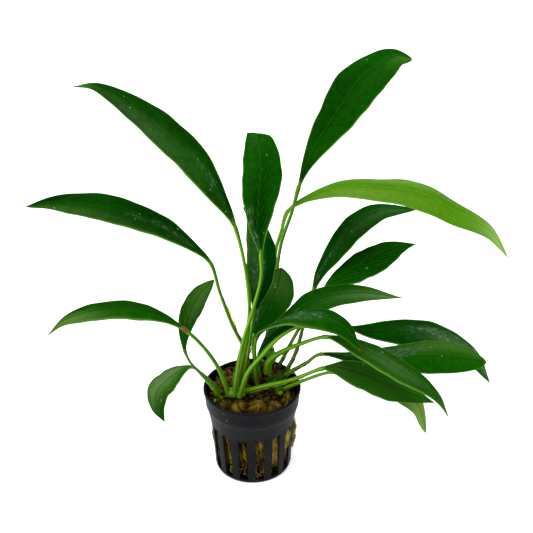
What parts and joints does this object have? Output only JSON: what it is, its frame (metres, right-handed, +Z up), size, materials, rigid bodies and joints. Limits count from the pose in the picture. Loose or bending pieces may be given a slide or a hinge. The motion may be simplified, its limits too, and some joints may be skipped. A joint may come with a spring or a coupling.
{
  "type": "potted plant",
  "caption": "Potted anubias: long dark green leaves on slender stalks that rise from short rhizomes in a plug of rock wool, in a slotted black net pot.",
  "frame": {"origin": "centre of the pot's underside", "axes": "+Z up along the pot's axis, -Y towards the pot's front as the picture shows it, +X to the right in the picture"},
  "size_m": [0.2697, 0.1151, 0.2253],
  "materials": {
    "pot": "satin black plastic",
    "wool": "rough fibres",
    "rhizome": "smooth stem skin",
    "stalk": "smooth stalk skin",
    "leaf": "glossy waxy leaf",
    "young_leaf": "glossy waxy leaf"
  },
  "bodies": {
    "root": {"net_pot": "pot", "rock_wool": "wool", "rhizome_left": "rhizome", "rhizome_right": "rhizome", "cut_stalk": "rhizome", "old_stalk": "rhizome", "stalk_01": "stalk", "stalk_02": "stalk", "stalk_03": "stalk", "stalk_04": "stalk", "stalk_05": "stalk", "stalk_06": "stalk", "stalk_07": "stalk", "stalk_08": "stalk", "stalk_09": "stalk", "stalk_10": "stalk", "stalk_11": "stalk", "stalk_12": "stalk", "stalk_13": "stalk", "stalk_14": "stalk", "stalk_15": "stalk", "stalk_16": "stalk", "stalk_17": "stalk", "stalk_18": "stalk", "stalk_19": "stalk", "leaf_01": "leaf", "leaf_02": "leaf", "leaf_03": "leaf", "leaf_04": "leaf", "leaf_05": "leaf", "leaf_06": "leaf", "leaf_07": "leaf", "leaf_08": "leaf", "leaf_09": "leaf", "leaf_10": "young_leaf", "leaf_11": "leaf", "leaf_12": "leaf", "leaf_13": "leaf", "leaf_14": "leaf", "leaf_15": "leaf", "leaf_16": "leaf", "leaf_17": "leaf", "leaf_18": "leaf", "leaf_19": "leaf"}
  },
  "joints": []
}
